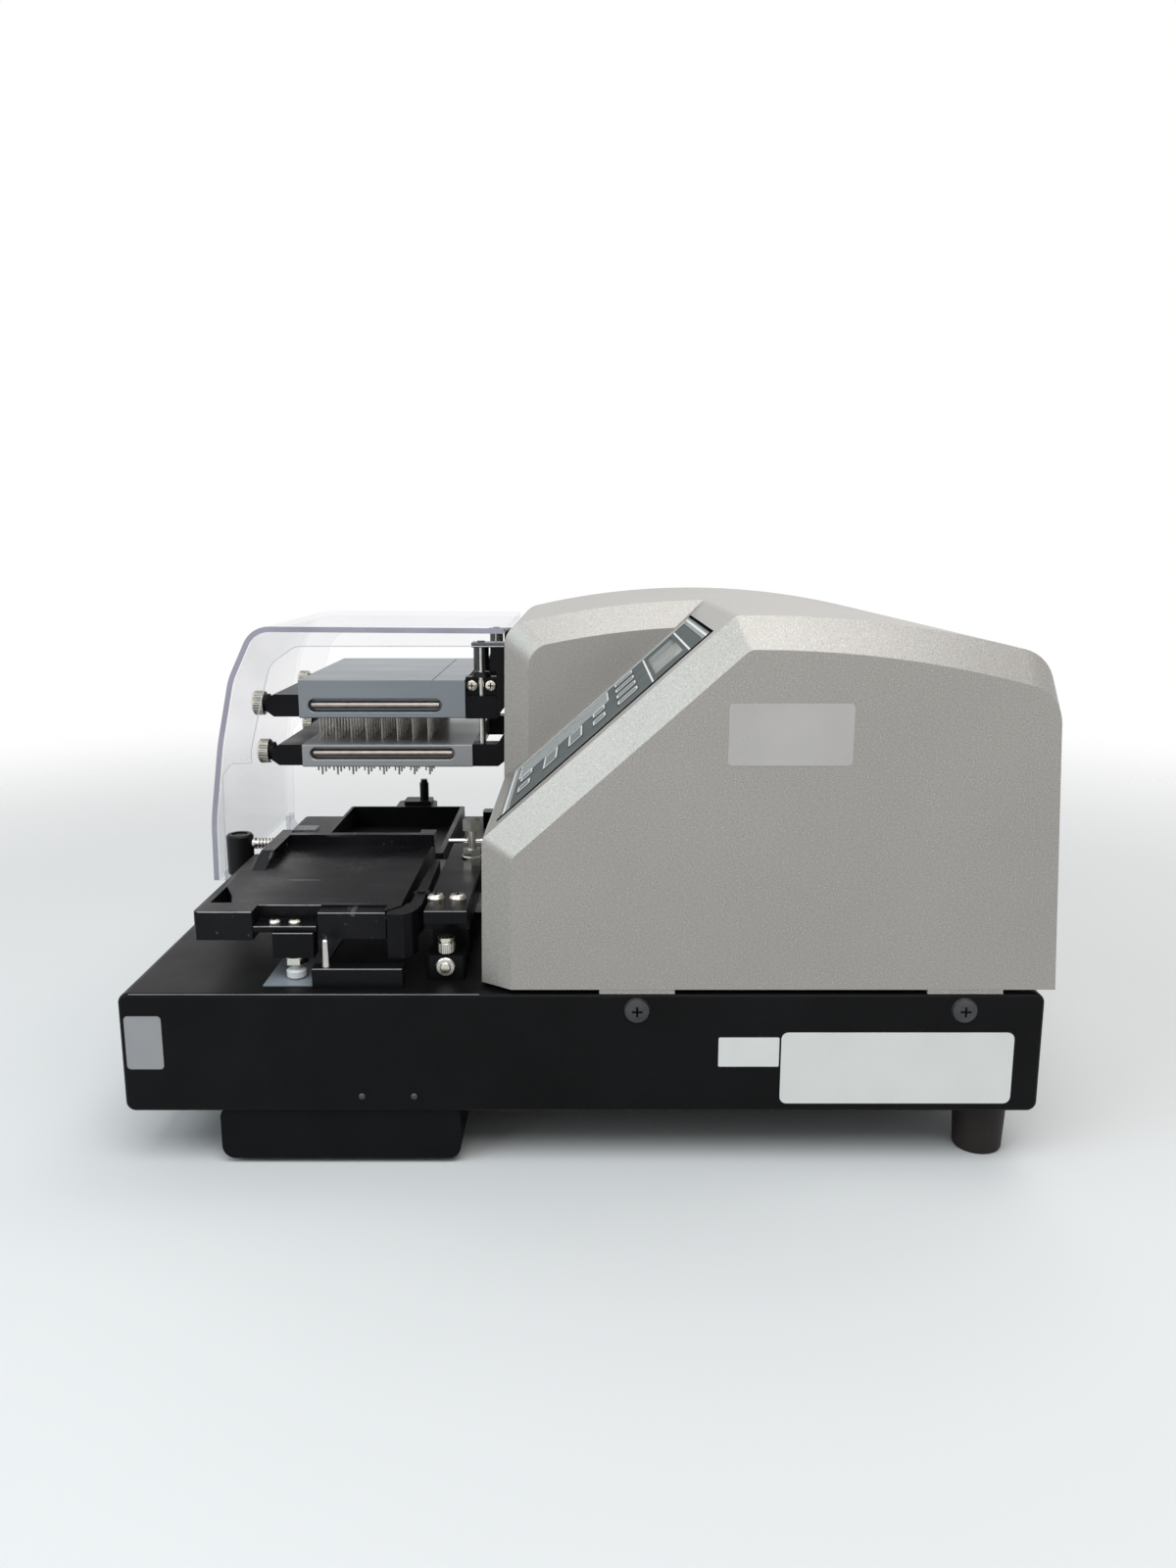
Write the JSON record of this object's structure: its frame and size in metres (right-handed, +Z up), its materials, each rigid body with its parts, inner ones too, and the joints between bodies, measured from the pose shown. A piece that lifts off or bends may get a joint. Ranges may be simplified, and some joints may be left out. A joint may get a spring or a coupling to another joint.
{
  "type": "microplate washer",
  "caption": "Bench-top microplate washer: a plate carrier slides under a two-stage aspirating and dispensing wash head beside a sloped keypad housing.",
  "frame": {"origin": "middle of the footprint at the foot of the rubber bumpers", "axes": "+Z up, -Y towards the front, +X towards the keypad side"},
  "size_m": [0.3608, 0.4266, 0.253],
  "materials": {
    "chassis_paint": "satin black powder coat",
    "housing_paint": "silver-grey paint with fine flecks",
    "foot_rubber": "matt dark rubber",
    "black_screw": "black oxide",
    "keypad_border": "light grey moulding",
    "keypad_film": "dark grey embossed film",
    "display_glass": "dark display glass",
    "black_plastic": "black acetal",
    "black_anodised": "black anodised, satin",
    "blue_anodised": "blue-grey anodised, satin",
    "clear_plastic": "clear acrylic",
    "steel": "ground stainless steel",
    "nickel": "nickel plate, knurled",
    "nylon": "natural white nylon",
    "spring_steel": "spring wire",
    "bright_aluminium": "machined",
    "motor_black": "black motor body",
    "belt_rubber": "matt timing belt",
    "galvanised": "plated sheet metal",
    "board_green": "green circuit board",
    "port_metal": "plated shells",
    "port_plastic": "white fittings"
  },
  "bodies": {
    "base": {"base_chassis": "chassis_paint", "bottom_pan": "chassis_paint", "feet": "foot_rubber", "housing": "housing_paint", "housing_screws": "black_screw", "keypad_frame": "keypad_border", "keypad_membrane": "keypad_film", "lcd_module": "display_glass", "trough": "black_plastic", "deck_block": "black_anodised", "deck_pins": "steel", "wear_strip": "clear_plastic", "shield_brackets": "clear_plastic", "guide_rail": "steel", "rail_blocks": "black_anodised", "lift_tower": "bright_aluminium", "lift_rods": "steel", "lift_motor": "motor_black", "carrier_motor": "motor_black", "drive_belt": "belt_rubber", "power_supply": "galvanised", "main_board": "board_green", "dispense_pump": "motor_black", "valve_block": "port_plastic", "connector_panel": "galvanised", "power_inlet": "black_plastic", "data_ports": "port_metal", "fluid_ports": "port_plastic"},
    "carrier": {"plate_nest": "black_anodised", "bearing_blocks": "black_plastic", "carriage_plate": "black_anodised", "carrier_screws": "nickel", "foot_bracket": "black_anodised", "levelling_foot": "nylon", "adjuster_bolt": "steel", "belt_clamp": "bright_aluminium", "plunger_spring": "spring_steel"},
    "plunger": {"plunger_shaft": "steel", "plunger_knob": "black_plastic"},
    "clamp": {"clamp_lever": "black_anodised"},
    "dispense_head": {"dispense_manifold": "blue_anodised", "dispense_tubes": "steel", "dispense_cap": "black_anodised", "dispense_slot_rods": "steel", "dispense_thumbscrews": "nickel", "head_frames": "black_anodised", "head_guides": "steel", "aspirate_actuators": "bright_aluminium", "lift_carriage": "bright_aluminium"},
    "aspirate_head": {"aspirate_manifold": "blue_anodised", "aspirate_tubes": "steel", "aspirate_cap": "black_anodised", "aspirate_slot_rods": "steel", "aspirate_thumbscrews": "nickel", "aspirate_connectors": "black_anodised"},
    "lift_screw": {"lift_screw": "steel"},
    "drive_pulley": {"drive_pulley": "bright_aluminium"},
    "idler_pulley": {"idler_pulley": "bright_aluminium"},
    "power_switch": {"power_switch": "black_plastic"},
    "mist_shield": {"mist_shield": "clear_plastic"}
  },
  "joints": [
    {"name": "carrier_slide", "type": "slide", "parent": "base", "child": "carrier", "axis": [-1, 0, 0], "range_m": [0, 0.1496]},
    {"name": "plunger_slide", "type": "slide", "parent": "carrier", "child": "plunger", "axis": [0, 1, 0], "range_m": [0, 0.0045], "stiffness_N_per_m": 400, "springref_m": -0.002, "deforming": ["plunger_spring"]},
    {"name": "clamp_swing", "type": "hinge", "parent": "carrier", "child": "clamp", "pos_m": [0.12, -0.079, 0.112], "axis": [0, 0, 1], "range_deg": [0, 3]},
    {"name": "dispense_lift", "type": "slide", "parent": "base", "child": "dispense_head", "axis": [0, 0, -1], "range_m": [0, 0.0245]},
    {"name": "aspirate_lift", "type": "slide", "parent": "dispense_head", "child": "aspirate_head", "axis": [0, 0, -1], "range_m": [0, 0.0073]},
    {"name": "lift_screw_turn", "type": "hinge", "parent": "base", "child": "lift_screw", "pos_m": [-0.0495, -0.016, 0.15], "axis": [0, 0, 1], "range_deg": [0, 1110]},
    {"name": "drive_pulley_turn", "type": "hinge", "parent": "base", "child": "drive_pulley", "pos_m": [0.14, -0.03, 0.093], "axis": [0, 0, 1], "range_deg": [-1025, 0]},
    {"name": "idler_pulley_turn", "type": "hinge", "parent": "base", "child": "idler_pulley", "pos_m": [-0.128, -0.03, 0.093], "axis": [0, 0, 1], "range_deg": [-1025, 0]},
    {"name": "power_rock", "type": "hinge", "parent": "base", "child": "power_switch", "pos_m": [0.0451, 0.1954, 0.0555], "axis": [1, 0, 0], "range_deg": [-16, 0]},
    {"name": "shield_lift", "type": "slide", "parent": "base", "child": "mist_shield", "axis": [0, 0, 1], "range_m": [0, 0.025]}
  ],
  "couplings": [
    {"joint": "lift_screw_turn", "follows": "dispense_lift", "rad_per_m": 785.4},
    {"joint": "drive_pulley_turn", "follows": "carrier_slide", "rad_per_m": -117.65},
    {"joint": "idler_pulley_turn", "follows": "carrier_slide", "rad_per_m": -117.65}
  ]
}
